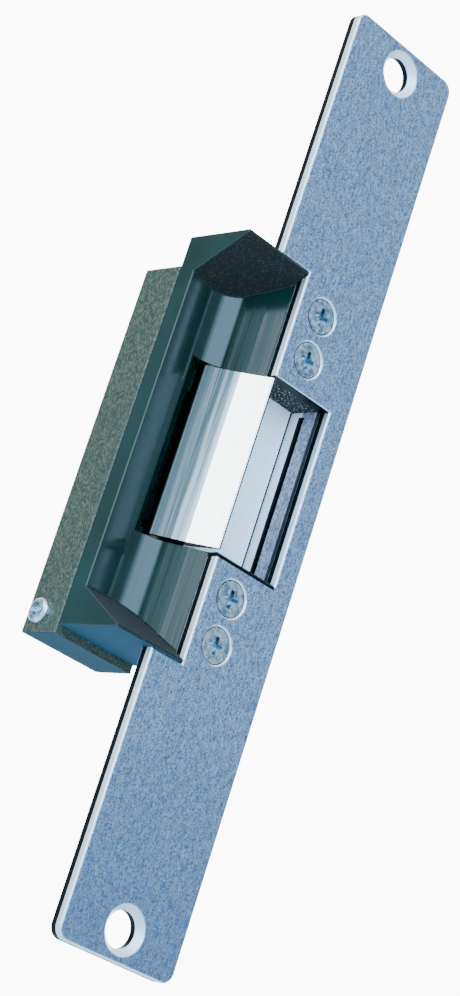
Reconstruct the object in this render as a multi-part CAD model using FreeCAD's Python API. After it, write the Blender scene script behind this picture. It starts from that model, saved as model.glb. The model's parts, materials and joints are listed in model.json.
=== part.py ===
import FreeCAD, Part
import math
import os
from FreeCAD import Vector

# Electric door strike, millimetres. X across the face plate, Y into the jamb, Z up the door frame.
# Every shape is drawn with y = 0 on the front face of the plate. At the end all are moved forward by
# the plate's thickness, so that the origin is midway between the two jamb screws, on the plane where
# the plate seats against the jamb.

# Face plate
PLATE_W = 34.925
PLATE_H = 228.6
PLATE_T = 3.2
PLATE_CORNER_R = 3.0
PLATE_EDGE = 0.4
JAMB_PITCH = 214.3
JAMB_HOLE_R = 4.2
JAMB_SINK_R = 5.85
FACE_SCREW_Z = (41.25, 30.0)
FACE_SCREW_HEAD_R = 4.3
FACE_SCREW_R = 2.0
FACE_SCREW_END = 14.0
HEAD_BELOW = 0.4
HEAD_LAND = 0.2

# Strike box
BOX_LEFT = -28.8
BOX_RIGHT = 13.6
BOX_HALF = 48.8
BOX_BACK = 19.7
BACK_RIGHT = 17.2
STEP_X = -7.9
POCKET_X = 11.2
POCKET_HALF = 22.0
POCKET_FLOOR = 11.5
LIP_Y = 14.6
END_LAND = 0.8
RAMP = 0.585
FIT = 0.1
LINER_SCREW_X = 4.0
LINER_SCREW_Z = (14.0, -14.0)
LINER_SCREW_R = 1.2
LINER_SLOT = (7.0, 8.9)
LINER_WALL = 0.9
FOLD_GROOVE = (0.6, 0.7)
TROUGH = [(-7.95, 3.3), (-11.8, 10.0), (-14.0, 13.3), (-19.4, 15.8), (BOX_LEFT, LIP_Y)]
TROUGH_ROUNDS = {2: 7.0, 3: 8.0}
EDGE_R = 0.35

# Keeper and its hinge
HINGE = (-14.0, 15.8)
BARREL_R = 2.8
BARREL_GAP = 0.4
PIN_R = 1.25
BUSH_R = 1.85
KEEPER_HALF = 21.2
WINDOW_HALF = 21.9
CREST_X = -8.2
CREST_FLAT = 0.8
CREASE = (-11.9, 7.4)
TAIL_R = 8.8
TAIL_W = 3.2
TAIL_Z = (-18.0, -12.0)
SPRING_Z = (2.0, 12.0)

# Rear case
CASE_X = (-29.0, -5.0)
CASE_Y = (BOX_BACK, 31.5)
CASE_Z = (-50.7, 41.0)
WALL = 1.2
COVER_SCREW = (26.8, -45.8)
CASE_SCREWS = ((-24.0, 34.0), (-10.0, 34.0), (-24.4, -36.0))
CABLE = (-17.0, 25.4)
CABLE_R = 2.2

# Solenoid and lever
COIL = (-15.0, 25.4)
COIL_R = 4.1
CORE_R = 2.0
YOKE_Z = (-43.0, -26.0)
YOKE_T = 1.2
YOKE_X = (-20.4, -6.2)
YOKE_Y = (21.2, 29.6)
ROD_R = 0.8
STROKE = 3.0
LEVER_Q = (-25.2, -16.8)
LEVER_Y = (21.3, 23.2)
LEVER_PIN_R = 1.0

# Terminal block
BLOCK_X = (-21.6, -12.4)
BLOCK_Y = (22.4, CASE_Y[1] - WALL)
BLOCK_Z = (17.0, 31.0)
POLE_Z = (20.5, 27.5)


def box(x, y, z):
    return Part.makeBox(x[1] - x[0], y[1] - y[0], z[1] - z[0], Vector(x[0], y[0], z[0]))


def cyl(r, start, length, axis):
    return Part.makeCylinder(r, length, Vector(*start), Vector(*axis))


def ring(r_out, r_in, start, length, axis):
    return cyl(r_out, start, length, axis).cut(cyl(r_in, start, length, axis))


def prism_z(points, z0, z1):
    wire = Part.makePolygon([Vector(x, y, z0) for x, y in points + points[:1]])
    return Part.Face(wire).extrude(Vector(0, 0, z1 - z0))


def prism_y(points, y0, y1):
    wire = Part.makePolygon([Vector(x, y0, z) for x, z in points + points[:1]])
    return Part.Face(wire).extrude(Vector(0, y1 - y0, 0))


def prism_x(points, x0, x1):
    wire = Part.makePolygon([Vector(x0, y, z) for y, z in points + points[:1]])
    return Part.Face(wire).extrude(Vector(x1 - x0, 0, 0))


def fuse(first, *rest):
    shape = first
    for other in rest:
        shape = shape.fuse(other)
    return shape.removeSplitter()


def group(solids):
    return Part.makeCompound(solids)


def edges_where(shape, test):
    return [e for e in shape.Edges if test(e)]


def straight(edge, axis):
    if edge.Curve.TypeId != "Part::GeomLine":
        return False
    d = edge.tangentAt(edge.FirstParameter)
    return abs(d.dot(Vector(*axis))) > 0.999


def cross_recess(start, axis, reach, depth, side):
    """Cross-shaped cutter for a screw head; side is any direction square to the axis."""
    a = Vector(*axis)
    u = Vector(*side)
    v = a.cross(u)
    arm = 0.26 * reach
    cutters = []
    for long_dir, short_dir in ((u, v), (v, u)):
        corner = [(-reach, -arm), (reach, -arm), (reach, arm), (-reach, arm)]
        points = [Vector(*start) + long_dir * p + short_dir * q for p, q in corner]
        face = Part.Face(Part.makePolygon(points + points[:1]))
        cutters.append(face.extrude(a * -depth))
    return cutters[0].fuse(cutters[1])


def pan_screw(start, axis, shank_r, length, head_r, head_h, side):
    """Pan-head screw; start is where the head seats, axis points out of the head."""
    s = Vector(*start)
    a = Vector(*axis)
    head = Part.makeCylinder(head_r, head_h, s, a)
    rim = edges_where(head, lambda e: (e.CenterOfMass - (s + a * head_h)).Length < 0.01
                      and e.Curve.TypeId == "Part::GeomCircle")
    head = head.makeFillet(head_h * 0.55, rim)
    shank = Part.makeCylinder(shank_r, length, s, a * -1)
    top = s + a * head_h
    recess = cross_recess((top.x, top.y, top.z), axis, head_r * 0.55, head_h * 0.65, side)
    return head.fuse(shank).removeSplitter().cut(recess)


def clip(centre, axis, r_out, r_in, thick, side):
    """Retaining ring with a mouth towards side."""
    c = Vector(*centre)
    a = Vector(*axis)
    u = Vector(*side)
    v = a.cross(u)
    body = Part.makeCylinder(r_out, thick, c, a).cut(Part.makeCylinder(r_in, thick, c, a))
    half = r_in * 0.75
    mouth = [c - v * half, c + v * half, c + v * half + u * r_out * 2, c - v * half + u * r_out * 2]
    face = Part.Face(Part.makePolygon(mouth + mouth[:1]))
    return body.cut(face.extrude(a * thick))


def coil_spring(mean_r, wire_r, centre, z0, z1, turns):
    """Round-wire helix about a vertical axis, between two heights."""
    low = z0 + wire_r
    height = z1 - z0 - 2 * wire_r
    helix = Part.makeHelix(height / turns, height, mean_r)
    start = Part.Wire(Part.makeCircle(wire_r, Vector(mean_r, 0, 0), Vector(0, 1, 0)))
    solid = Part.Wire(helix.Edges).makePipeShell([start], True, True)
    solid.translate(Vector(centre[0], centre[1], low))
    return solid


def rod_path(points, r):
    """Round wire along straight runs with ball corners."""
    solids = []
    for a, b in zip(points, points[1:]):
        run = Vector(*b) - Vector(*a)
        solids.append(Part.makeCylinder(r, run.Length, Vector(*a), run))
    for p in points[1:-1]:
        solids.append(Part.makeSphere(r, Vector(*p)))
    return fuse(*solids)


# ---------------------------------------------------------------- face plate

def make_face_plate():
    half_w = PLATE_W / 2
    half_h = PLATE_H / 2
    plate = box((-half_w, half_w), (0, PLATE_T), (-half_h, half_h))
    notch = box((-half_w - 1, STEP_X), (-1, PLATE_T + 1), (-BOX_HALF, BOX_HALF))
    pocket = box((STEP_X - 1, POCKET_X), (-1, PLATE_T + 1), (-POCKET_HALF, POCKET_HALF))
    corners = edges_where(plate, lambda e: straight(e, (0, 1, 0)))
    plate = plate.makeFillet(PLATE_CORNER_R, corners).cut(notch).cut(pocket)
    front = edges_where(plate, lambda e: e.BoundBox.YMax < 0.01)
    plate = plate.makeChamfer(PLATE_EDGE, front)
    for z in (JAMB_PITCH / 2, -JAMB_PITCH / 2):
        plate = plate.cut(cyl(JAMB_HOLE_R, (0, -1, z), PLATE_T + 2, (0, 1, 0)))
        sink = Part.makeCone(JAMB_SINK_R, JAMB_HOLE_R, JAMB_SINK_R - JAMB_HOLE_R,
                             Vector(0, 0, z), Vector(0, 1, 0))
        plate = plate.cut(sink)
    seat_r = FACE_SCREW_HEAD_R + FIT / 2
    for z in face_screw_places():
        mouth = Part.makeCone(seat_r + HEAD_BELOW, seat_r, HEAD_BELOW, Vector(0, 0, z), Vector(0, 1, 0))
        plate = plate.cut(face_screw_form(z, FIT / 2)).cut(mouth)
    return plate


def face_screw_places():
    return [s * z for z in FACE_SCREW_Z for s in (1, -1)]


def face_screw_form(z, grow):
    """Countersunk head and shank, widened by grow for the hole it sits in."""
    head_r = FACE_SCREW_HEAD_R + grow
    shank_r = FACE_SCREW_R + grow
    depth = FACE_SCREW_HEAD_R - FACE_SCREW_R
    head = Part.makeCone(head_r, shank_r, depth, Vector(0, HEAD_BELOW, z), Vector(0, 1, 0))
    shank = cyl(shank_r, (0, HEAD_BELOW, z), FACE_SCREW_END - HEAD_BELOW + grow, (0, 1, 0))
    return head.fuse(shank).removeSplitter()


def make_face_plate_screws():
    screws = []
    for z in face_screw_places():
        top = (0, HEAD_BELOW, z)
        recess = cross_recess(top, (0, -1, 0), FACE_SCREW_HEAD_R * 0.5, 1.5, (1, 0, 0))
        land = cyl(FACE_SCREW_HEAD_R - HEAD_LAND, top, FACE_SCREW_END, (0, 1, 0))
        screws.append(face_screw_form(z, 0).common(land).cut(recess))
    return group(screws)


# ---------------------------------------------------------------- strike box

def trough_cutter():
    outer = [(-45, -5), (TROUGH[0][0], -5)]
    slope = (TROUGH[4][1] - TROUGH[3][1]) / (TROUGH[4][0] - TROUGH[3][0])
    past_lip = (-45, LIP_Y + slope * (-45 - BOX_LEFT))
    section = prism_z(outer + TROUGH + [past_lip], -BOX_HALF, BOX_HALF)
    for index, radius in TROUGH_ROUNDS.items():
        x, y = TROUGH[index]
        bend = edges_where(section, lambda e: straight(e, (0, 0, 1)) and math.hypot(
            e.CenterOfMass.x - x, e.CenterOfMass.y - y) < 0.01)
        section = section.makeFillet(radius, bend)
    mouth = BOX_HALF - END_LAND
    far = 30.0
    inner = mouth - RAMP * far
    ends = prism_x([(0, mouth), (far, inner), (far, -inner), (0, -mouth), (-5, -mouth), (-5, mouth)], -50, 0)
    return section.common(ends)


def make_strike_body():
    half = BOX_HALF - FIT
    front = box((BOX_LEFT, STEP_X - FIT), (0, BOX_BACK), (-half, half))
    behind = box((STEP_X - FIT - 1, BOX_RIGHT), (PLATE_T, BACK_RIGHT), (-half, half))
    web = box((STEP_X - FIT - 1, CASE_X[1]), (PLATE_T, BOX_BACK), (-half, half))
    body = fuse(front, behind, web)
    body = body.cut(trough_cutter())
    body = body.makeFillet(EDGE_R, edges_where(body, lambda e: e.BoundBox.XMax < BOX_LEFT + 0.01))
    left = HINGE[0] - BARREL_R - BARREL_GAP
    window = box((left, -9.4), (-1, BOX_BACK + 1), (-WINDOW_HALF, WINDOW_HALF))
    pocket = box((-9.5, POCKET_X), (-1, POCKET_FLOOR + WALL), (-POCKET_HALF, POCKET_HALF))
    undercut = box((POCKET_X - 1, POCKET_X + 1.2), (7.0, 8.9), (-POCKET_HALF, POCKET_HALF))
    cradle = prism_z([(-20.6, 14.0), (left + 0.1, 14.0), (left + 0.1, 17.6), (-20.6, 15.35)],
                     -WINDOW_HALF, WINDOW_HALF)
    tail_z = (TAIL_Z[0] - 0.6, TAIL_Z[1] + 0.6)
    tail_way = cyl(TAIL_R + 0.6, (HINGE[0], HINGE[1], tail_z[0]), tail_z[1] - tail_z[0], (0, 0, 1))
    tail_way = tail_way.common(box((-30, 0), (16.9, BOX_BACK + 1), tail_z))
    for cutter in (window, pocket, undercut, cradle, tail_way):
        body = body.cut(cutter)
    pin_hole = cyl(PIN_R + 0.02, (HINGE[0], HINGE[1], -30), BOX_HALF + 31, (0, 0, 1))
    body = body.cut(pin_hole)
    for z in face_screw_places():
        body = body.cut(face_screw_form(z, FIT / 2))
    for x, z in CASE_SCREWS:
        body = body.cut(cyl(1.25, (x, 16.4, z), 5, (0, 1, 0)))
    for z in LINER_SCREW_Z:
        body = body.cut(cyl(LINER_SCREW_R + 0.1, (LINER_SCREW_X, POCKET_FLOOR, z), 10, (0, 1, 0)))
    return body


# ---------------------------------------------------------------- keeper

def make_keeper():
    hx, hy = HINGE
    dx, dy = CREASE[0] - hx, CREASE[1] - hy
    dist = math.hypot(dx, dy)
    turn = math.atan2(dy, dx) - math.acos(BARREL_R / dist)
    touch = (hx + BARREL_R * math.cos(turn), hy + BARREL_R * math.sin(turn))
    outline = [(CREST_X, 0), CREASE, touch, (hx, hy), (hx + BARREL_R, hy), (CREST_X + CREST_FLAT, 0)]
    wedge = prism_z(outline, -KEEPER_HALF, KEEPER_HALF)
    barrel = cyl(BARREL_R, (hx, hy, -KEEPER_HALF), 2 * KEEPER_HALF, (0, 0, 1))
    tail = box((-TAIL_W / 2, TAIL_W / 2), (0, TAIL_R), TAIL_Z)
    tail.rotate(Vector(0, 0, 0), Vector(0, 0, 1), 45)
    tail.translate(Vector(hx, hy, 0))
    keeper = fuse(wedge, barrel, tail)
    keeper = keeper.cut(cyl(BUSH_R + 0.01, (hx, hy, -KEEPER_HALF - 1), 2 * KEEPER_HALF + 2, (0, 0, 1)))
    z0, z1 = SPRING_Z
    keeper = keeper.cut(cyl(2.2, (hx, hy, z0), z1 - z0, (0, 0, 1)))
    keeper = keeper.cut(box((hx - 2.2, hx + 2.2), (hy, hy + 5), (z0, z1)))
    crest = edges_where(keeper, lambda e: e.BoundBox.YMax < 0.01 and straight(e, (0, 0, 1)))
    return keeper.makeFillet(0.35, crest)


def make_keeper_pin():
    return cyl(PIN_R, (HINGE[0], HINGE[1], -29.8), 29.8 + BOX_HALF - FIT, (0, 0, 1))


def make_keeper_bushes():
    low = ring(BUSH_R, PIN_R + 0.04, (HINGE[0], HINGE[1], -KEEPER_HALF), 7.0, (0, 0, 1))
    high = ring(BUSH_R, PIN_R + 0.04, (HINGE[0], HINGE[1], KEEPER_HALF - 7.0), 7.0, (0, 0, 1))
    return group([low, high])


def make_thrust_washers():
    rings = []
    for z in (-KEEPER_HALF - 0.55, KEEPER_HALF + 0.1):
        rings.append(ring(2.3, PIN_R + 0.05, (HINGE[0], HINGE[1], z), 0.45, (0, 0, 1)))
    return group(rings)


def make_keeper_spring():
    z0, z1 = SPRING_Z
    return coil_spring(1.75, 0.3, HINGE, z0 + 0.4, z1 - 0.4, 8.5)


# ---------------------------------------------------------------- pocket liner

def make_pocket_liner():
    """Folded sheet: the pocket's floor and its right wall, which has one long slot."""
    half = POCKET_HALF - FIT
    right = POCKET_X - FIT / 2
    floor = box((-8.6, right), (POCKET_FLOOR, POCKET_FLOOR + WALL - 0.02), (-half, half))
    fold = right - LINER_WALL
    wall = box((fold, right), (PLATE_T + FIT, POCKET_FLOOR + 0.5), (-half, half))
    slot = box((right - 2, right + 1), LINER_SLOT, (1.2 - half, half - 1.2))
    width, depth = FOLD_GROOVE
    groove = box((fold - width, fold), (POCKET_FLOOR - 0.1, POCKET_FLOOR + depth), (-half - 1, half + 1))
    liner = fuse(floor, wall).cut(slot).cut(groove)
    for z in LINER_SCREW_Z:
        liner = liner.cut(cyl(LINER_SCREW_R + 0.05, (LINER_SCREW_X, POCKET_FLOOR + 0.3, z), 5, (0, 1, 0)))
    return liner


def make_liner_screws():
    screws = []
    for z in LINER_SCREW_Z:
        start = (LINER_SCREW_X, BACK_RIGHT, z)
        length = BACK_RIGHT - POCKET_FLOOR - 0.4
        screws.append(pan_screw(start, (0, 1, 0), LINER_SCREW_R, length, 2.2, 1.3, (1, 0, 0)))
    return group(screws)


# ---------------------------------------------------------------- rear case

def make_rear_housing():
    x0, x1 = CASE_X[0] + WALL, CASE_X[1]
    shell = box((x0, x1), CASE_Y, CASE_Z)
    hollow = box((x0 - 1, x1 - WALL), (CASE_Y[0] + WALL, CASE_Y[1] - WALL),
                 (CASE_Z[0] + WALL, CASE_Z[1] - WALL))
    back = edges_where(shell, lambda e: e.BoundBox.YMin > CASE_Y[1] - 0.01 and e.BoundBox.XMin > x0 + 0.01)
    case = shell.makeFillet(0.8, back).cut(hollow)
    front_wall = (CASE_Y[0] - 1, CASE_Y[0] + WALL + 0.5)
    keeper_opening = box((-19.9, -8.2), front_wall, (-22.2, 22.2))
    tail_opening = box((-21.4, -6.3), front_wall, (TAIL_Z[0] - 0.6, TAIL_Z[1] + 0.6))
    case = case.cut(keeper_opening).cut(tail_opening)
    boss = cyl(2.6, (x0, COVER_SCREW[0], COVER_SCREW[1]), 6.0, (1, 0, 0))
    foot = box((x0, x0 + 6.0), (COVER_SCREW[0] - 1, COVER_SCREW[0] + 1), (CASE_Z[0] + 0.5, COVER_SCREW[1]))
    case = fuse(case, boss, foot)
    case = case.cut(cyl(1.3, (x0 - 1, COVER_SCREW[0], COVER_SCREW[1]), 6.5, (1, 0, 0)))
    for x, z in CASE_SCREWS:
        case = case.cut(cyl(1.4, (x, CASE_Y[0] - 1, z), 4, (0, 1, 0)))
    for z in yoke_screw_heights():
        case = case.cut(cyl(1.3, (x1 - 3, COIL[1], z), 5, (1, 0, 0)))
    case = case.cut(cyl(LEVER_PIN_R + 0.02, (LEVER_Q[0], CASE_Y[0] - 1, LEVER_Q[1]), 4, (0, 1, 0)))
    return case.cut(cyl(CABLE_R + 1.3, (CABLE[0], CABLE[1], CASE_Z[1] - 3), 5, (0, 0, 1)))


def make_side_cover():
    cover = box((CASE_X[0], CASE_X[0] + WALL), CASE_Y, CASE_Z)
    tongue = box((CASE_X[0] + WALL - 0.1, CASE_X[0] + WALL + 1.5),
                 (CASE_Y[0] + WALL + 0.2, CASE_Y[1] - WALL - 0.2),
                 (CASE_Z[1] - WALL - 1.2, CASE_Z[1] - WALL - 0.1))
    outer = edges_where(cover, lambda e: e.BoundBox.XMax < CASE_X[0] + 0.01)
    cover = fuse(cover.makeFillet(0.35, outer), tongue)
    return cover.cut(cyl(1.5, (CASE_X[0] - 1, COVER_SCREW[0], COVER_SCREW[1]), 4, (1, 0, 0)))


def make_side_cover_screw():
    return pan_screw((CASE_X[0], COVER_SCREW[0], COVER_SCREW[1]), (-1, 0, 0), 1.25, 6.0, 3.0, 1.6, (0, 1, 0))


def make_housing_screws():
    screws = []
    for x, z in CASE_SCREWS:
        start = (x, CASE_Y[0] + WALL, z)
        screws.append(pan_screw(start, (0, 1, 0), 1.2, 4.2, 2.2, 1.3, (1, 0, 0)))
    return group(screws)


# ---------------------------------------------------------------- solenoid

def yoke_screw_heights():
    return (-30.5, -38.5)


def make_solenoid_frame():
    z0, z1 = YOKE_Z
    x0, x1 = YOKE_X
    top = box((x0, x1), YOKE_Y, (z1 - YOKE_T, z1))
    low = box((x0, x1), YOKE_Y, (z0, z0 + YOKE_T))
    side = box((x1 - 1.6, x1), YOKE_Y, (z0, z1))
    yoke = fuse(top, low, side)
    bend = edges_where(yoke, lambda e: straight(e, (0, 1, 0)) and e.BoundBox.XMin > x1 - 0.01)
    yoke = yoke.makeFillet(1.0, bend)
    yoke = yoke.cut(cyl(CORE_R + 0.15, (COIL[0], COIL[1], z0 - 1), 4, (0, 0, 1)))
    yoke = yoke.cut(cyl(CORE_R + 0.12, (COIL[0], COIL[1], z1 - 3), 5, (0, 0, 1)))
    for z in yoke_screw_heights():
        yoke = yoke.cut(cyl(1.25, (x1 - 3, COIL[1], z), 5, (1, 0, 0)))
    return yoke


def make_coil_bobbin():
    z0, z1 = YOKE_Z[0] + YOKE_T, YOKE_Z[1] - YOKE_T
    tube = cyl(2.8, (COIL[0], COIL[1], z0), z1 - z0, (0, 0, 1))
    low = cyl(COIL_R, (COIL[0], COIL[1], z0), 0.8, (0, 0, 1))
    top = cyl(COIL_R, (COIL[0], COIL[1], z1 - 0.8), 0.8, (0, 0, 1))
    return fuse(tube, low, top).cut(cyl(CORE_R + 0.15, (COIL[0], COIL[1], z0), z1 - z0, (0, 0, 1)))


def make_coil_winding():
    z0, z1 = YOKE_Z[0] + YOKE_T + 0.85, YOKE_Z[1] - YOKE_T - 0.85
    return ring(3.8, 2.85, (COIL[0], COIL[1], z0), z1 - z0, (0, 0, 1))


def make_coil_wrap():
    z0, z1 = YOKE_Z[0] + YOKE_T + 0.85, YOKE_Z[1] - YOKE_T - 0.85
    return ring(4.05, 3.85, (COIL[0], COIL[1], z0), z1 - z0, (0, 0, 1))


def make_pole_piece():
    z1 = YOKE_Z[1]
    pole = cyl(CORE_R + 0.1, (COIL[0], COIL[1], z1 - 4.5), 4.5, (0, 0, 1))
    pole = pole.cut(cyl(ROD_R + 0.08, (COIL[0], COIL[1], z1 - 6), 8, (0, 0, 1)))
    return pole.cut(cyl(1.75, (COIL[0], COIL[1], z1 - 5), 2.7, (0, 0, 1)))


def make_plunger():
    top = YOKE_Z[1] - 4.5 - STROKE - 0.1
    plunger = cyl(CORE_R, (COIL[0], COIL[1], -46.2), top + 46.2, (0, 0, 1))
    ends = edges_where(plunger, lambda e: e.Curve.TypeId == "Part::GeomCircle" and e.BoundBox.ZMax < -46.1)
    plunger = plunger.makeChamfer(0.4, ends)
    return plunger.cut(cyl(ROD_R, (COIL[0], COIL[1], top - 4), 5, (0, 0, 1)))


def make_push_rod():
    top = YOKE_Z[1] - 4.5 - STROKE - 0.1
    x, y = COIL
    rod = cyl(ROD_R, (x, y, top - 4), -24.2 - top + 4, (0, 0, 1))
    collar = cyl(1.5, (x, y, -24.5), 0.6, (0, 0, 1))
    neck = cyl(0.6, (x, y, -24.2), 3.6, (0, 0, 1))
    return fuse(rod, collar, neck)


def make_push_rod_clip():
    return clip((COIL[0], COIL[1], -21.6), (0, 0, 1), 1.6, 0.62, 0.5, (0, 1, 0))


def make_plunger_spring():
    z1 = YOKE_Z[1] - 2.3
    z0 = YOKE_Z[1] - 4.5 - STROKE - 0.1
    return coil_spring(1.3, 0.2, COIL, z0, z1, 4.5)


def make_solenoid_screws():
    screws = []
    for z in yoke_screw_heights():
        screws.append(pan_screw((CASE_X[1], COIL[1], z), (1, 0, 0), 1.2, 2.8, 2.2, 1.3, (0, 1, 0)))
    return group(screws)


# ---------------------------------------------------------------- lever

def make_locking_lever():
    qx, qz = LEVER_Q
    y0, y1 = LEVER_Y
    outline = [(qx - 2.2, qz), (qx - 2.2, -24.4), (-12.6, -24.4), (-12.6, -21.5), (-13.6, -21.5),
               (-13.6, -18.35), (-15.6, -18.35), (-15.6, -21.5), (qx + 2.0, -21.5), (qx + 2.2, qz)]
    plate = prism_y(outline, y0, y1)
    eye = cyl(2.2, (qx, y0, qz), y1 - y0, (0, 1, 0))
    tab = box((-18.6, -12.6), (y1 - 0.5, 27.4), (-23.4, -22.2))
    lever = fuse(plate, eye, tab)
    lever = lever.cut(box((-17.3, -14.15), (24.65, 28), (-24, -21.6)))
    return lever.cut(cyl(LEVER_PIN_R + 0.04, (qx, y0 - 1, qz), 5, (0, 1, 0)))


def make_lever_pivot_pin():
    qx, qz = LEVER_Q
    pin = cyl(LEVER_PIN_R, (qx, CASE_Y[0], qz), 4.6, (0, 1, 0))
    groove = ring(LEVER_PIN_R + 0.2, 0.7, (qx, LEVER_Y[1] + 0.15, qz), 0.5, (0, 1, 0))
    return pin.cut(groove)


def make_lever_pin_clip():
    qx, qz = LEVER_Q
    return clip((qx, LEVER_Y[1] + 0.18, qz), (0, 1, 0), 2.1, 0.72, 0.44, (0, 0, 1))


# ---------------------------------------------------------------- wiring

def make_terminal_block():
    block = box(BLOCK_X, BLOCK_Y, BLOCK_Z)
    slit = box((BLOCK_X[0] - 1, BLOCK_X[0] + 1.5), (BLOCK_Y[0] - 1, BLOCK_Y[1] + 1), (23.6, 24.4))
    block = block.cut(slit)
    for z in POLE_Z:
        block = block.cut(cyl(1.9, (BLOCK_X[0] - 1, 26.4, z), 3.5, (1, 0, 0)))
        block = block.cut(cyl(1.3, (BLOCK_X[0], 26.4, z), 6.0, (1, 0, 0)))
        block = block.cut(cyl(1.0, (-17.0, BLOCK_Y[0] - 1, z), 3.0, (0, 1, 0)))
    return block


def make_terminal_screws():
    screws = []
    for z in POLE_Z:
        start = (BLOCK_X[0] + 2.5, 26.4, z)
        screws.append(pan_screw(start, (-1, 0, 0), 1.2, 3.2, 1.8, 1.0, (0, 1, 0)))
    return group(screws)


def make_surge_diode():
    x, y = -9.4, 25.0
    body = cyl(1.3, (x, y, 21.5), 5.2, (0, 0, 1))
    low = rod_path([(x, y, 21.6), (x, y, 19.6), (-12.35, y, 19.6)], 0.3)
    high = rod_path([(x, y, 26.6), (x, y, 28.6), (-12.35, y, 28.6)], 0.3)
    return fuse(body, low, high)


def make_coil_leads():
    leads = []
    for x, y, z in ((-26.4, 29.3, POLE_Z[0]), (-25.2, 29.3, POLE_Z[1])):
        start = (-19.5, 29.3, -24.6)
        if z == POLE_Z[1]:
            start = (-19.5, 28.2, -23.6)
            y = 28.2
        corner = (x, y, start[2])
        leads.append(rod_path([start, corner, (x, y, z), (BLOCK_X[0] - 0.05, y, z)], 0.45))
    return group(leads)


def make_wire_grommet():
    x, y = CABLE
    z = CASE_Z[1]
    body = cyl(CABLE_R + 2.1, (x, y, z - WALL - 1.4), WALL + 2.6, (0, 0, 1))
    groove = ring(CABLE_R + 2.8, CABLE_R + 1.25, (x, y, z - WALL - 0.02), WALL + 0.04, (0, 0, 1))
    return body.cut(groove).cut(cyl(CABLE_R, (x, y, z - 4), 8, (0, 0, 1)))


NODES = {
    "face_plate": make_face_plate,
    "face_plate_screws": make_face_plate_screws,
    "strike_body": make_strike_body,
    "keeper": make_keeper,
    "keeper_pin": make_keeper_pin,
    "keeper_bushes": make_keeper_bushes,
    "thrust_washers": make_thrust_washers,
    "keeper_spring": make_keeper_spring,
    "pocket_liner": make_pocket_liner,
    "liner_screws": make_liner_screws,
    "rear_housing": make_rear_housing,
    "side_cover": make_side_cover,
    "side_cover_screw": make_side_cover_screw,
    "housing_screws": make_housing_screws,
    "solenoid_frame": make_solenoid_frame,
    "coil_bobbin": make_coil_bobbin,
    "coil_winding": make_coil_winding,
    "coil_wrap": make_coil_wrap,
    "pole_piece": make_pole_piece,
    "plunger": make_plunger,
    "push_rod": make_push_rod,
    "push_rod_clip": make_push_rod_clip,
    "plunger_spring": make_plunger_spring,
    "solenoid_screws": make_solenoid_screws,
    "locking_lever": make_locking_lever,
    "lever_pivot_pin": make_lever_pivot_pin,
    "lever_pin_clip": make_lever_pin_clip,
    "terminal_block": make_terminal_block,
    "terminal_screws": make_terminal_screws,
    "surge_diode": make_surge_diode,
    "coil_leads": make_coil_leads,
    "wire_grommet": make_wire_grommet,
}


def main():
    os.makedirs("parts", exist_ok=True)
    for name, make in NODES.items():
        shape = make()
        shape.translate(Vector(0, -PLATE_T, 0))
        if shape.isNull() or not shape.isValid():
            print("bad shape:", name)
        print(name, len(shape.Solids), "solids", round(shape.Volume, 1), "mm3")
        shape.exportStep("parts/" + name + ".step")


main()
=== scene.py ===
import json
import math

import bpy
from mathutils import Matrix, Vector


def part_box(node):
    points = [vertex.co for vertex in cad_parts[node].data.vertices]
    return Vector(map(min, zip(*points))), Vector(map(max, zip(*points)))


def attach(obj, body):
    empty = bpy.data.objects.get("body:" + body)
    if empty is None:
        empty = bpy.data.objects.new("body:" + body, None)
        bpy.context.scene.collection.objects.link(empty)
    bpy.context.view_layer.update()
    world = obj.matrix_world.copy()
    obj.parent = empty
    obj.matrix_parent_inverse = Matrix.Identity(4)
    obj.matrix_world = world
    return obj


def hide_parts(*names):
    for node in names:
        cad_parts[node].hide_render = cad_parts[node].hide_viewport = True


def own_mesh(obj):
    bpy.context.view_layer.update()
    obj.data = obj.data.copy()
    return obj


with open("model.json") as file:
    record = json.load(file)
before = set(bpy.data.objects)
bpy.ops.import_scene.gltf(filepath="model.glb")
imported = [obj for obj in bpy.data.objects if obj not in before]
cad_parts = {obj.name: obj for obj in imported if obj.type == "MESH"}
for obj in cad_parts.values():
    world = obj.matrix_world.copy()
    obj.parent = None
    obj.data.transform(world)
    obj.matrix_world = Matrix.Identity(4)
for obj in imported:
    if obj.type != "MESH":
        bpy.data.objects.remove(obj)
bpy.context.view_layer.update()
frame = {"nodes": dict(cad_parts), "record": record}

MM = 0.001

# ---------------------------------------------------------------- camera

VIEW_TARGET = Vector((-9.67, -3.2, -9.56)) * MM
VIEW_AZIMUTH = math.radians(-40.15)
VIEW_ELEVATION = math.radians(-17.62)
VIEW_ROLL = math.radians(18.05)
VIEW_DISTANCE = 561.2 * MM
LENS_MM = 90.8
SENSOR_MM = 36.0


def make_camera():
    """Looks up at the strike from its open side, rolled as the photograph is."""
    flat = math.cos(VIEW_ELEVATION)
    forward = Vector((-math.sin(VIEW_AZIMUTH) * flat, math.cos(VIEW_AZIMUTH) * flat,
                      -math.sin(VIEW_ELEVATION)))
    level = forward.cross(Vector((0, 0, 1))).normalized()
    above = level.cross(forward)
    right = level * math.cos(VIEW_ROLL) + above * math.sin(VIEW_ROLL)
    up = above * math.cos(VIEW_ROLL) - level * math.sin(VIEW_ROLL)
    place = VIEW_TARGET - forward * VIEW_DISTANCE
    data = bpy.data.cameras.new("camera")
    data.lens = LENS_MM
    data.sensor_width = SENSOR_MM
    data.clip_start = 0.01
    camera = bpy.data.objects.new("camera", data)
    camera.matrix_world = Matrix((
        (right.x, up.x, -forward.x, place.x),
        (right.y, up.y, -forward.y, place.y),
        (right.z, up.z, -forward.z, place.z),
        (0, 0, 0, 1)))
    bpy.context.collection.objects.link(camera)
    bpy.context.scene.camera = camera


# ---------------------------------------------------------------- material helpers

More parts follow.
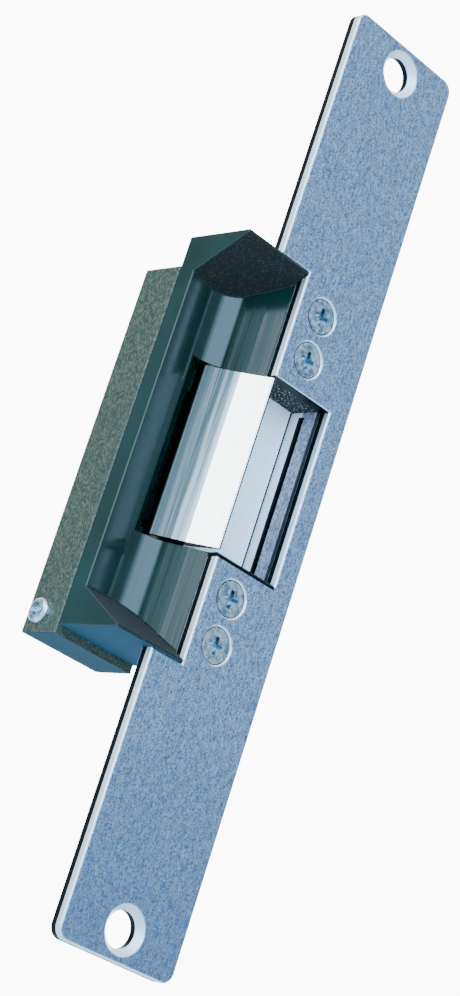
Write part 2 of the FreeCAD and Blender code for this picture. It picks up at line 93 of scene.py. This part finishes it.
FINE_RELIEF = 0.02 * MM
MOULD_RELIEF = 0.03 * MM
ENAMEL_RELIEF = 0.04 * MM
ZINC_RELIEF = 0.05 * MM
CAST_RELIEF = 0.06 * MM


class Nodes:
    """A material's node tree, with short calls for the nodes used here."""

    def __init__(self, name):
        self.material = bpy.data.materials.new(name)
        self.material.use_nodes = True
        self.tree = self.material.node_tree
        self.shader = self.tree.nodes["Principled BSDF"]
        self.coords = self.tree.nodes.new("ShaderNodeTexCoord").outputs["Object"]
        self.axes = None

    def set(self, **values):
        for name, value in values.items():
            self.shader.inputs[name.replace("_", " ")].default_value = value
        return self

    def link(self, source, target):
        self.tree.links.new(source, target)
        return source

    def feed(self, name, source):
        self.link(source, self.shader.inputs[name])

    def mapped(self, scale):
        node = self.tree.nodes.new("ShaderNodeMapping")
        node.inputs["Scale"].default_value = scale
        self.link(self.coords, node.inputs["Vector"])
        return node.outputs["Vector"]

    def noise(self, scale, detail=3.0, stretch=(1, 1, 1), rough=0.55):
        node = self.tree.nodes.new("ShaderNodeTexNoise")
        node.inputs["Scale"].default_value = scale
        node.inputs["Detail"].default_value = detail
        node.inputs["Roughness"].default_value = rough
        self.link(self.mapped(stretch), node.inputs["Vector"])
        return node.outputs["Fac"]

    def ramp(self, source, stops):
        node = self.tree.nodes.new("ShaderNodeValToRGB")
        band = node.color_ramp
        while len(band.elements) < len(stops):
            band.elements.new(0.5)
        for element, (place, value) in zip(band.elements, stops):
            element.position = place
            element.color = value if len(value) == 4 else (*value, 1.0)
        self.link(source, node.inputs["Fac"])
        return node.outputs["Color"]

    def grey_ramp(self, source, low, high, start=0.3, end=0.7):
        return self.ramp(source, [(start, (low, low, low)), (end, (high, high, high))])

    def math(self, operation, first, second):
        node = self.tree.nodes.new("ShaderNodeMath")
        node.operation = operation
        for socket, value in zip(node.inputs, (first, second)):
            if isinstance(value, (int, float)):
                socket.default_value = value
            else:
                self.link(value, socket)
        return node.outputs[0]

    def place(self, axis):
        if self.axes is None:
            split = self.tree.nodes.new("ShaderNodeSeparateXYZ")
            self.link(self.coords, split.inputs[0])
            self.axes = split.outputs
        return self.axes["XYZ".index(axis)]

    def rise(self, source, start, end):
        """0 below start, 1 above end, straight between; start may be the larger of the two."""
        node = self.tree.nodes.new("ShaderNodeMapRange")
        node.inputs["From Min"].default_value = min(start, end)
        node.inputs["From Max"].default_value = max(start, end)
        node.inputs["To Min"].default_value = 0.0 if start < end else 1.0
        node.inputs["To Max"].default_value = 1.0 if start < end else 0.0
        self.link(source, node.inputs["Value"])
        return node.outputs["Result"]

    def within(self, source, low, high, soft=0.05 * MM):
        """1 between low and high, 0 outside."""
        return self.both(self.rise(source, low - soft, low), self.rise(source, high + soft, high))

    def outside(self, mask):
        return self.rise(mask, 1, 0)

    def both(self, *masks):
        mask = masks[0]
        for other in masks[1:]:
            mask = self.math("MULTIPLY", mask, other)
        return mask

    def mix(self, mask, plain, marked):
        """plain where mask is 0, marked where it is 1; either may be a colour or a link."""
        node = self.tree.nodes.new("ShaderNodeMix")
        node.data_type = "RGBA"
        self.link(mask, node.inputs["Factor"])
        for socket, value in ((node.inputs["A"], plain), (node.inputs["B"], marked)):
            if isinstance(value, tuple):
                socket.default_value = (*value, 1.0)
            else:
                self.link(value, socket)
        return node.outputs["Result"]

    def bump(self, source, strength, distance):
        node = self.tree.nodes.new("ShaderNodeBump")
        if isinstance(strength, (int, float)):
            node.inputs["Strength"].default_value = strength
        else:
            self.link(strength, node.inputs["Strength"])
        node.inputs["Distance"].default_value = distance
        self.link(source, node.inputs["Height"])
        self.feed("Normal", node.outputs["Normal"])


def grey(value):
    return (value, value, value)


def brushed(name, dark, light, rough_low, rough_high, stretch, bump=0.15, scale=900):
    """Metal with a fine grain drawn along the axis whose stretch is small."""
    n = Nodes(name)
    n.set(Metallic=1.0)
    grain = n.noise(scale, 4, stretch)
    cloud = n.noise(90, 3)
    n.feed("Base Color", n.ramp(grain, [(0.3, dark), (0.7, light)]))
    n.feed("Roughness", n.grey_ramp(cloud, rough_low, rough_high))
    n.bump(grain, bump, FINE_RELIEF)
    return n


def plain_metal(name, dark, light, rough, bump=0.05):
    n = Nodes(name)
    n.set(Metallic=1.0)
    spots = n.noise(400, 4)
    n.feed("Base Color", n.ramp(spots, [(0.35, dark), (0.65, light)]))
    n.feed("Roughness", n.grey_ramp(spots, rough * 0.85, rough * 1.2))
    n.bump(spots, bump, FINE_RELIEF)
    return n


def plastic(name, dark, light, rough, scale=500, bump=0.1):
    n = Nodes(name)
    spots = n.noise(scale, 3)
    n.feed("Base Color", n.ramp(spots, [(0.35, dark), (0.65, light)]))
    n.feed("Roughness", n.grey_ramp(spots, rough * 0.9, rough * 1.15))
    n.bump(spots, bump, MOULD_RELIEF)
    return n


# ---------------------------------------------------------------- the strike's own finishes

PLATE_LOW, PLATE_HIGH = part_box("face_plate")
BODY_LOW, BODY_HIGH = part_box("strike_body")
KEEPER_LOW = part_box("keeper")[0]
LINER_LOW, LINER_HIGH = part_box("pocket_liner")
COVER_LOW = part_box("side_cover")[0]
SKIN = 0.1 * MM
POCKET_HALF = 22.0 * MM

# Face plate: the torn part of its sheared edges, painted dark as shade; the pocket's lower lip, with its
# band of painted shadow; the darker foot; and the half width and half height of the area that holds the
# face screws, whose recesses are painted dark as shade.
SHADED_FRACTURE = 1.45 * MM
LIP_SHADE_WIDTH = 1.0 * MM
FOOT_RISE = 70.0 * MM
SCREWS_HALF_X = 4.9 * MM
SCREWS_HALF_Z = 46.1 * MM
HEAD_BELOW = 0.4 * MM

# Casting: the slope and front land of its end ramps, where its drawn flank ends, and where that
# flank starts to swell, is full, starts to fall and is flat again.
RAMP = 0.585
LAND = 0.7 * MM
FLANK_X = -12.5 * MM
SWELL_START_X = -10.4 * MM
SWELL_FULL_X = -11.9 * MM
SWELL_FALL_X = -12.4 * MM
SWELL_END_X = -20.0 * MM
SWELL = 2.5

# Keeper, as depths behind its crest, and the right side of the crest's flat.
CREASE_DEPTH = 7.4 * MM
SHADE_RISE = 6.0 * MM
CRADLE_DEPTH = 14.8 * MM
CREST_X = -8.15 * MM

# Liner, as depths behind its front, and the thickness of its wall.
FLOOR_DEPTH = 8.2 * MM
SLOT_DEPTH = 4.6 * MM
LINER_WALL = 0.9 * MM


def satin_stainless():
    """Satin face; painted highlight brightens its sheared edges in front, and painted shade darkens their
    torn part behind, the screw recesses, the pocket's ends and the pocket's lower lip.
    """
    n = Nodes("satin_stainless")
    n.set(Metallic=1.0, Anisotropic=0.3)
    grain = n.noise(1300, 4, (1, 1, 0.35), 0.8)
    speck = n.noise(2900, 4, (1, 1, 0.8), 0.9)
    blend = n.math("ADD", n.math("MULTIPLY", grain, 0.3), n.math("MULTIPLY", speck, 0.7))
    face = n.ramp(blend, [(0.43, (0.12, 0.24, 0.42)), (0.5, (0.40, 0.54, 0.74)),
                          (0.57, (0.80, 0.94, 1.0))])
    foot = n.rise(n.place("Z"), PLATE_LOW[2] + FOOT_RISE, PLATE_LOW[2])
    face = n.mix(n.math("ADD", n.math("MULTIPLY", foot, 0.45), 0.06), face, (0.10, 0.19, 0.38))
    # Painted shade: the torn back part of the sheared edges is blackened below, as if in shadow.
    torn_shade = n.within(n.place("Y"), PLATE_HIGH[1] - SHADED_FRACTURE, PLATE_HIGH[1] - SKIN)
    front = n.rise(n.place("Y"), PLATE_LOW[1] + SKIN, PLATE_LOW[1])
    # Painted highlight: the edge faces in front of the torn part are near-white as if catching light, over
    # their real burnish.
    edge_highlight = n.both(n.rise(n.place("Y"), PLATE_LOW[1] + SKIN, PLATE_LOW[1] + 2 * SKIN), n.outside(torn_shade))
    colour = n.mix(edge_highlight, face, (0.86, 0.93, 0.96))
    x_out = n.math("ABSOLUTE", n.place("X"), 0.0)
    z_out = n.math("ABSOLUTE", n.place("Z"), 0.0)
    # Painted shade: the face screws' recesses and the pocket's end faces are blackened as if in shadow.
    deep = n.rise(n.place("Y"), PLATE_LOW[1] + HEAD_BELOW, PLATE_LOW[1] + HEAD_BELOW + SKIN / 2)
    screw_hole_shade = n.both(deep, n.rise(x_out, SCREWS_HALF_X + SKIN, SCREWS_HALF_X),
                        n.rise(z_out, SCREWS_HALF_Z + SKIN, SCREWS_HALF_Z))
    pocket_end = n.both(n.rise(n.place("Y"), PLATE_LOW[1] + SKIN, PLATE_LOW[1] + 2 * SKIN),
                        n.within(z_out, POCKET_HALF - SKIN, POCKET_HALF + SKIN),
                        n.rise(n.place("X"), LINER_HIGH[0] + SKIN, LINER_HIGH[0]))
    # Painted shadow: a band on the pocket's lower lip is blackened as if in shadow.
    lip_shade = n.both(n.within(n.place("Z"), -POCKET_HALF - LIP_SHADE_WIDTH, -POCKET_HALF + SKIN),
                  n.rise(n.place("X"), LINER_HIGH[0] + SKIN, LINER_HIGH[0]))
    # Every mask below is painted shade, mixed to near-black.
    dark = n.math("MAXIMUM", n.math("MAXIMUM", torn_shade, lip_shade), n.math("MAXIMUM", screw_hole_shade, pocket_end))
    n.feed("Base Color", n.mix(dark, colour, (0.008, 0.014, 0.018)))
    n.feed("Roughness", n.mix(front, grey(0.5), n.grey_ramp(speck, 0.26, 0.42)))
    n.bump(speck, 0.35, FINE_RELIEF)
    return n


def zinc_screws():
    """Bright zinc; the cross in a face screw's head is painted darker as shade in its recess."""
    n = Nodes("zinc_screws")
    n.set(Metallic=1.0)
    spots = n.noise(900, 4)
    top = PLATE_LOW[1] + HEAD_BELOW
    # Painted shade: the screw's surfaces behind the head's top, the cross recess, get a darker colour.
    cross = n.both(n.rise(n.place("Y"), top, top + SKIN), n.rise(n.place("Y"), -SKIN, -2 * SKIN))
    zinc = n.ramp(spots, [(0.38, (0.22, 0.40, 0.52)), (0.62, (0.88, 0.98, 1.0))])
    n.feed("Base Color", n.mix(cross, zinc, (0.30, 0.44, 0.52)))
    n.feed("Roughness", n.grey_ramp(spots, 0.2, 0.34))
    n.bump(spots, 0.25, ZINC_RELIEF)
    return n


def black_casting():
    """Glossy dark green paint over a smooth casting, rough on its ramps and in the pocket's ends; painted
    shade darkens the paint in its hollows, and its lower end is painted blue as blue light falling on it.
    """
    n = Nodes("black_casting")
    n.set(Specular_IOR_Level=0.5)
    z_out = n.math("ABSOLUTE", n.place("Z"), 0.0)
    depth = n.math("SUBTRACT", n.place("Y"), BODY_LOW[1])
    on_ramp = n.rise(n.math("ADD", z_out, n.math("MULTIPLY", depth, RAMP)),
                     BODY_HIGH[2] - LAND - 5 * SKIN, BODY_HIGH[2] - LAND - 3 * SKIN)
    inside = n.both(n.within(n.place("X"), BODY_LOW[0] + 2 * SKIN, BODY_HIGH[0] - 2 * SKIN),
                    n.rise(n.place("Y"), BODY_HIGH[1] - SKIN, BODY_HIGH[1] - 3 * SKIN),
                    n.rise(z_out, BODY_HIGH[2] - SKIN, BODY_HIGH[2] - 3 * SKIN))
    pocket_end = n.both(n.within(z_out, POCKET_HALF - SKIN, POCKET_HALF + SKIN),
                        n.rise(n.place("X"), CREST_X - MM, CREST_X),
                        n.rise(depth, CRADLE_DEPTH, CRADLE_DEPTH - MM))
    trough_side = n.rise(n.place("X"), CREST_X + 2 * MM, CREST_X + MM)
    rough = n.both(n.math("MAXIMUM", n.both(on_ramp, trough_side), pocket_end), inside)
    grit = n.noise(1500, 4, rough=0.8)
    cloud = n.noise(50, 2)
    skin = n.ramp(cloud, [(0.3, (0.001, 0.015, 0.013)), (0.7, (0.004, 0.030, 0.027))])
    # Painted shade: the casting's inner faces get darker paint than its outer skin, as if in shadow.
    hollow_shade = n.ramp(cloud, [(0.3, (0.0005, 0.011, 0.008)), (0.7, (0.001, 0.018, 0.014))])
    drawn = n.noise(330, 3, (1, 1, 0.03), 0.6)
    paint = n.mix(inside, skin, hollow_shade)
    # Painted light: the lower end face is tinted blue as if lit by the low blue panel.
    blue_lit_lower_end = n.rise(n.place("Z"), BODY_LOW[2] + SKIN, BODY_LOW[2] + SKIN / 2)
    cast = n.ramp(grit, [(0.50, (0.0001, 0.001, 0.001)), (0.56, (0.004, 0.012, 0.010)),
                         (0.62, (0.015, 0.03, 0.028))])
    chipped = n.ramp(grit, [(0.50, (0.0004, 0.002, 0.002)), (0.56, (0.01, 0.02, 0.02)),
                            (0.60, (0.5, 0.56, 0.58))])
    ends = n.mix(n.both(rough, pocket_end), n.mix(rough, paint, cast), chipped)
    n.feed("Base Color", n.mix(blue_lit_lower_end, ends, (0.0, 0.045, 0.085)))
    dull = n.math("MAXIMUM", rough, blue_lit_lower_end)
    n.feed("Roughness", n.mix(dull, n.grey_ramp(cloud, 0.10, 0.18), grey(0.9)))
    smooth = n.both(inside, n.outside(rough))
    on_flank = n.both(smooth, n.rise(n.place("X"), FLANK_X - MM, FLANK_X))
    grit_height = n.math("ADD", n.math("MULTIPLY", rough, 0.7), 0.03)
    relief = n.math("ADD", n.math("MULTIPLY", grit, grit_height), n.math("MULTIPLY", drawn, on_flank))
    swell = n.both(smooth, n.rise(n.place("X"), SWELL_START_X, SWELL_FULL_X),
                   n.rise(n.place("X"), SWELL_END_X, SWELL_FALL_X))
    relief = n.math("ADD", relief, n.math("MULTIPLY", swell, SWELL))
    n.bump(relief, 0.9, CAST_RELIEF)
    return n


def case_grey():
    """Speckled grey-green enamel; its lower end is painted blue-green as blue light falling on it."""
    n = Nodes("case_grey")
    n.set(Specular_IOR_Level=0.5)
    speck = n.noise(2300, 4, (1, 1, 0.6), 0.85)
    cloud = n.noise(35, 2)
    dots = n.ramp(speck, [(0.43, (0.003, 0.013, 0.010)), (0.5, (0.022, 0.046, 0.033)),
                          (0.57, (0.11, 0.125, 0.075))])
    colour = n.mix(n.grey_ramp(cloud, 0.0, 0.3), dots, (0.016, 0.038, 0.032))
    # Painted light: the lower end face is tinted blue-green as if lit by the low blue panel.
    blue_lit_lower_end = n.rise(n.place("Z"), COVER_LOW[2] + SKIN, COVER_LOW[2] + SKIN / 2)
    n.feed("Base Color", n.mix(blue_lit_lower_end, colour, (0.006, 0.045, 0.07)))
    n.feed("Roughness", n.mix(blue_lit_lower_end, n.grey_ramp(speck, 0.35, 0.55), grey(0.95)))
    n.bump(speck, 0.35, ENAMEL_RELIEF)
    return n


def polished_keeper():
    """Bright plated keeper; painted shade darkens the flat of its crest and its lower facet towards the
    cradle, and the part inside the cradle is dull and painted near-black as shade.
    """
    n = Nodes("polished_keeper")
    n.set(Metallic=1.0)
    streak = n.noise(420, 4, (1, 1, 0.015), 0.65)
    fine = n.noise(1400, 3, (1, 1, 0.03))
    depth = n.math("SUBTRACT", n.place("Y"), KEEPER_LOW[1])
    shade = n.rise(depth, CREASE_DEPTH, CREASE_DEPTH + SHADE_RISE)
    polished = n.ramp(streak, [(0.3, (0.88, 0.91, 0.92)), (0.6, (0.97, 0.98, 0.98))])
    drawn = n.ramp(streak, [(0.40, (0.20, 0.26, 0.28)), (0.52, (0.80, 0.85, 0.87)),
                            (0.6, (0.95, 0.96, 0.97))])
    bright = n.mix(n.rise(depth, CREASE_DEPTH, CREASE_DEPTH + MM), polished, drawn)
    # Painted shade: the lower facet fades to this dark colour deeper behind the crease.
    dull = n.ramp(streak, [(0.38, (0.012, 0.025, 0.03)), (0.62, (0.10, 0.135, 0.15))])
    # Painted shade: the keeper is near-black beyond the cradle depth, as if in the cradle's shadow.
    cradle_shade = n.rise(depth, CRADLE_DEPTH, CRADLE_DEPTH + SKIN)
    # Painted shadow: the crest's flat is blackened as if in the gap's shadow.
    crest_shade = n.both(n.rise(depth, SKIN, 0.0), n.rise(n.place("X"), CREST_X, CREST_X + SKIN))
    colour = n.mix(shade, bright, dull)
    n.feed("Base Color", n.mix(n.math("MAXIMUM", cradle_shade, crest_shade), colour, (0.002, 0.003, 0.003)))
    n.feed("Roughness", n.mix(cradle_shade, n.grey_ramp(fine, 0.14, 0.24), grey(0.6)))
    n.bump(fine, 0.08, FINE_RELIEF)
    return n


def liner_steel():
    """Bead-blasted floor and a duller wall above its long slot; a painted highlight brightens the wall's
    foot, and painted shade blackens the wall's cut edge and the groove along the floor.
    """
    n = Nodes("liner_steel")
    speck = n.noise(1500, 4, (1, 1, 0.7), 0.7)
    depth = n.math("SUBTRACT", n.place("Y"), LINER_LOW[1])
    floor = n.ramp(speck, [(0.40, (0.86, 0.92, 0.95)), (0.60, (0.99, 1.0, 1.0))])
    wall = n.ramp(speck, [(0.38, (0.10, 0.11, 0.15)), (0.62, (0.46, 0.45, 0.56))])
    wall_face = LINER_HIGH[0] - LINER_WALL
    on_wall = n.within(n.place("X"), wall_face - SKIN, wall_face + SKIN / 2)
    above = n.both(on_wall, n.rise(depth, SLOT_DEPTH, SLOT_DEPTH - SKIN))
    # Painted highlight: the wall's foot is near-white as if catching light.
    foot = n.both(on_wall, n.within(depth, SLOT_DEPTH + SKIN, FLOOR_DEPTH - SKIN))
    # Painted shade: the wall beyond its inner face and the groove along the floor are blackened as if in
    # shadow.
    cut_shade = n.rise(n.place("X"), wall_face + SKIN / 2, wall_face + SKIN)
    groove_shade = n.rise(depth, FLOOR_DEPTH + SKIN, FLOOR_DEPTH + 2 * SKIN)
    colour = n.mix(foot, n.mix(above, floor, wall), (0.95, 0.96, 0.97))
    n.feed("Base Color", n.mix(n.math("MAXIMUM", cut_shade, groove_shade), colour, (0.006, 0.008, 0.01)))
    n.feed("Roughness", n.grey_ramp(speck, 0.42, 0.58))
    n.bump(speck, 0.2, FINE_RELIEF)
    return n


MAKERS = {
    "satin_stainless": satin_stainless,
    "zinc_screws": zinc_screws,
    "black_casting": black_casting,
    "polished_keeper": polished_keeper,
    "bright_steel": lambda: plain_metal("bright_steel", (0.50, 0.51, 0.53), (0.68, 0.69, 0.71), 0.25),
    "bronze": lambda: plain_metal("bronze", (0.035, 0.024, 0.015), (0.07, 0.05, 0.032), 0.45, 0.15),
    "spring_steel": lambda: plain_metal("spring_steel", (0.28, 0.29, 0.31), (0.42, 0.43, 0.46), 0.3),
    "liner_steel": liner_steel,
    "case_grey": case_grey,
    "plated_yoke": lambda: plain_metal("plated_yoke", (0.52, 0.47, 0.30), (0.70, 0.66, 0.46), 0.32),
    "bobbin_plastic": lambda: plastic("bobbin_plastic", (0.012, 0.012, 0.014), (0.03, 0.03, 0.035), 0.5),
    "enamelled_copper": lambda: plain_metal("enamelled_copper", (0.40, 0.12, 0.05), (0.62, 0.22, 0.10),
                                            0.25),
    "coil_tape": lambda: plastic("coil_tape", (0.55, 0.40, 0.06), (0.70, 0.55, 0.12), 0.3),
    "brass_rod": lambda: plain_metal("brass_rod", (0.62, 0.45, 0.18), (0.80, 0.62, 0.30), 0.25),
    "lever_steel": lambda: brushed("lever_steel", (0.40, 0.41, 0.43), (0.58, 0.59, 0.61), 0.28, 0.4,
                                   (0.1, 1, 1)),
    "terminal_green": lambda: plastic("terminal_green", (0.015, 0.11, 0.045), (0.03, 0.17, 0.08), 0.42),
    "diode_black": lambda: plastic("diode_black", (0.008, 0.008, 0.009), (0.02, 0.02, 0.022), 0.3),
    "lead_red": lambda: plastic("lead_red", (0.34, 0.015, 0.012), (0.45, 0.03, 0.02), 0.45),
    "grommet_rubber": lambda: plastic("grommet_rubber", (0.012, 0.012, 0.013), (0.025, 0.025, 0.027), 0.65),
}


def dress_nodes():
    made = {}
    for part in frame["record"]["subparts"]:
        slot = part["material_slot"]
        if slot not in made:
            made[slot] = MAKERS[slot]().material
        mesh = frame["nodes"][part["node"]].data
        mesh.materials.clear()
        mesh.materials.append(made[slot])
    return made


# ---------------------------------------------------------------- plunger spring

SPRING_TURNS = 4.5
SPRING_WIRE_R = 0.2 * MM
POINTS_A_TURN = 40
POINTS_ROUND_WIRE = 12


def make_plunger_spring(material):
    """The return spring again, as a helix of round wire fixed to the strike case in the CAD spring's place.
    """
    low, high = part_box("plunger_spring")
    middle = (Vector(low) + Vector(high)) / 2
    mean_r = (high[0] - low[0]) / 2 - SPRING_WIRE_R
    rise = high[2] - low[2] - 2 * SPRING_WIRE_R
    steps = int(SPRING_TURNS * POINTS_A_TURN)
    points = []
    for i in range(steps + 1):
        turn = 2 * math.pi * SPRING_TURNS * i / steps
        out = Vector((math.cos(turn), math.sin(turn), 0))
        centre = Vector((middle.x, middle.y, low[2] + SPRING_WIRE_R + rise * i / steps)) + out * mean_r
        for k in range(POINTS_ROUND_WIRE):
            round_wire = 2 * math.pi * k / POINTS_ROUND_WIRE
            points.append(centre + SPRING_WIRE_R * (out * math.cos(round_wire)
                                                    + Vector((0, 0, math.sin(round_wire)))))
    count = POINTS_ROUND_WIRE
    faces = [(i * count + k, i * count + (k + 1) % count, (i + 1) * count + (k + 1) % count,
              (i + 1) * count + k) for i in range(steps) for k in range(count)]
    faces.append(tuple(reversed(range(count))))
    faces.append(tuple(range(steps * count, (steps + 1) * count)))
    mesh = bpy.data.meshes.new("plunger_return_spring")
    mesh.from_pydata([tuple(p) for p in points], [], faces)
    mesh.polygons.foreach_set("use_smooth", [len(p.vertices) == 4 for p in mesh.polygons])
    mesh.materials.append(material)
    spring = bpy.data.objects.new("plunger_return_spring", mesh)
    bpy.context.collection.objects.link(spring)
    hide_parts("plunger_spring")
    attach(spring, "strike_case")
    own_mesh(spring)


# ---------------------------------------------------------------- studio

FLOOR_Z = -0.26


def make_floor():
    mesh = bpy.data.meshes.new("floor")
    s = 3.0
    mesh.from_pydata([(-s, -s, FLOOR_Z), (s, -s, FLOOR_Z), (s, s, FLOOR_Z), (-s, s, FLOOR_Z)], [],
                     [(0, 1, 2, 3)])
    floor = bpy.data.objects.new("floor", mesh)
    n = Nodes("floor_paper")
    n.set(Roughness=0.9)
    n.feed("Base Color", n.ramp(n.noise(6, 2), [(0.3, (0.42, 0.56, 0.64)), (0.7, (0.46, 0.59, 0.67))]))
    mesh.materials.append(n.material)
    bpy.context.collection.objects.link(floor)


BACKDROP = 11.0
# The studio's walls, by compass angle: 0 is in front of the plate, -90 on its open side, 180 behind.
PANORAMA = (
    (-180, (1.6, 1.6, 1.6)), (-150, (0.45, 0.6, 0.65)), (-124, (0.45, 0.6, 0.65)), (-104, (2.6, 2.8, 3.0)),
    (-94, (8.0, 8.2, 8.4)), (-86, (6.6, 6.8, 7.0)), (-79, (1.0, 2.2, 3.2)), (-71, (0.1, 0.25, 0.3)),
    (-56, (0.1, 0.3, 0.4)), (-46, (4.0, 6.4, 9.2)), (-12, (4.0, 6.4, 9.2)), (2, (0.4, 0.7, 1.0)),
    (22, (0.42, 0.56, 0.76)), (60, (0.42, 0.56, 0.76)), (100, (1.0, 1.1, 1.2)),
    (124, (BACKDROP, BACKDROP, BACKDROP)), (156, (BACKDROP, BACKDROP, BACKDROP)), (172, (1.8, 1.8, 1.8)))
OVERHEAD = (1.3, 1.35, 1.4)


def make_world():
    world = bpy.data.worlds.new("studio")
    world.use_nodes = True
    bpy.context.scene.world = world
    tree = world.node_tree

    def math_node(operation, first, second):
        node = tree.nodes.new("ShaderNodeMath")
        node.operation = operation
        for socket, value in zip(node.inputs, (first, second)):
            if isinstance(value, (int, float)):
                socket.default_value = value
            else:
                tree.links.new(value, socket)
        return node.outputs[0]

    direction = tree.nodes.new("ShaderNodeTexCoord").outputs["Generated"]
    split = tree.nodes.new("ShaderNodeSeparateXYZ")
    tree.links.new(direction, split.inputs[0])
    x, y, z = split.outputs
    angle = math_node("ARCTAN2", x, math_node("MULTIPLY", y, -1.0))
    turn = math_node("ADD", math_node("DIVIDE", angle, 2 * math.pi), 0.5)
    ramp = tree.nodes.new("ShaderNodeValToRGB")
    band = ramp.color_ramp
    band.interpolation = "EASE"
    while len(band.elements) < len(PANORAMA):
        band.elements.new(0.5)
    for element, (degrees, light) in zip(band.elements, PANORAMA):
        element.position = degrees / 360 + 0.5
        element.color = (*(c / BACKDROP for c in light), 1.0)
    tree.links.new(turn, ramp.inputs["Fac"])
    height = tree.nodes.new("ShaderNodeMapRange")
    height.interpolation_type = "SMOOTHSTEP"
    height.inputs["From Min"].default_value = 0.62
    height.inputs["From Max"].default_value = 0.88
    tree.links.new(z, height.inputs["Value"])
    mix = tree.nodes.new("ShaderNodeMix")
    mix.data_type = "RGBA"
    tree.links.new(height.outputs["Result"], mix.inputs["Factor"])
    tree.links.new(ramp.outputs["Color"], mix.inputs["A"])
    mix.inputs["B"].default_value = (*(c / BACKDROP for c in OVERHEAD), 1.0)
    back = tree.nodes["Background"]
    tree.links.new(mix.outputs["Result"], back.inputs["Color"])
    back.inputs["Strength"].default_value = BACKDROP


def area_light(name, place, target, size, power, color=(1, 1, 1)):
    data = bpy.data.lights.new(name, "AREA")
    data.shape = "RECTANGLE"
    data.size, data.size_y = size
    data.energy = power
    data.color = color
    light = bpy.data.objects.new(name, data)
    light.location = place
    light.rotation_euler = (Vector(target) - Vector(place)).to_track_quat("-Z", "Y").to_euler()
    bpy.context.collection.objects.link(light)


def make_lights():
    area_light("left_panel", (-0.9, -0.1, 0.25), (0, 0, 0), (0.6, 1.0), 1.0)
    area_light("low_blue_panel", (0.20, 0.26, -0.22), (0, 0, -0.04), (0.3, 0.3), 0.3, (0.02, 0.55, 1.0))


make_camera()
finishes = dress_nodes()
make_plunger_spring(finishes["spring_steel"])
make_floor()
make_world()
make_lights()
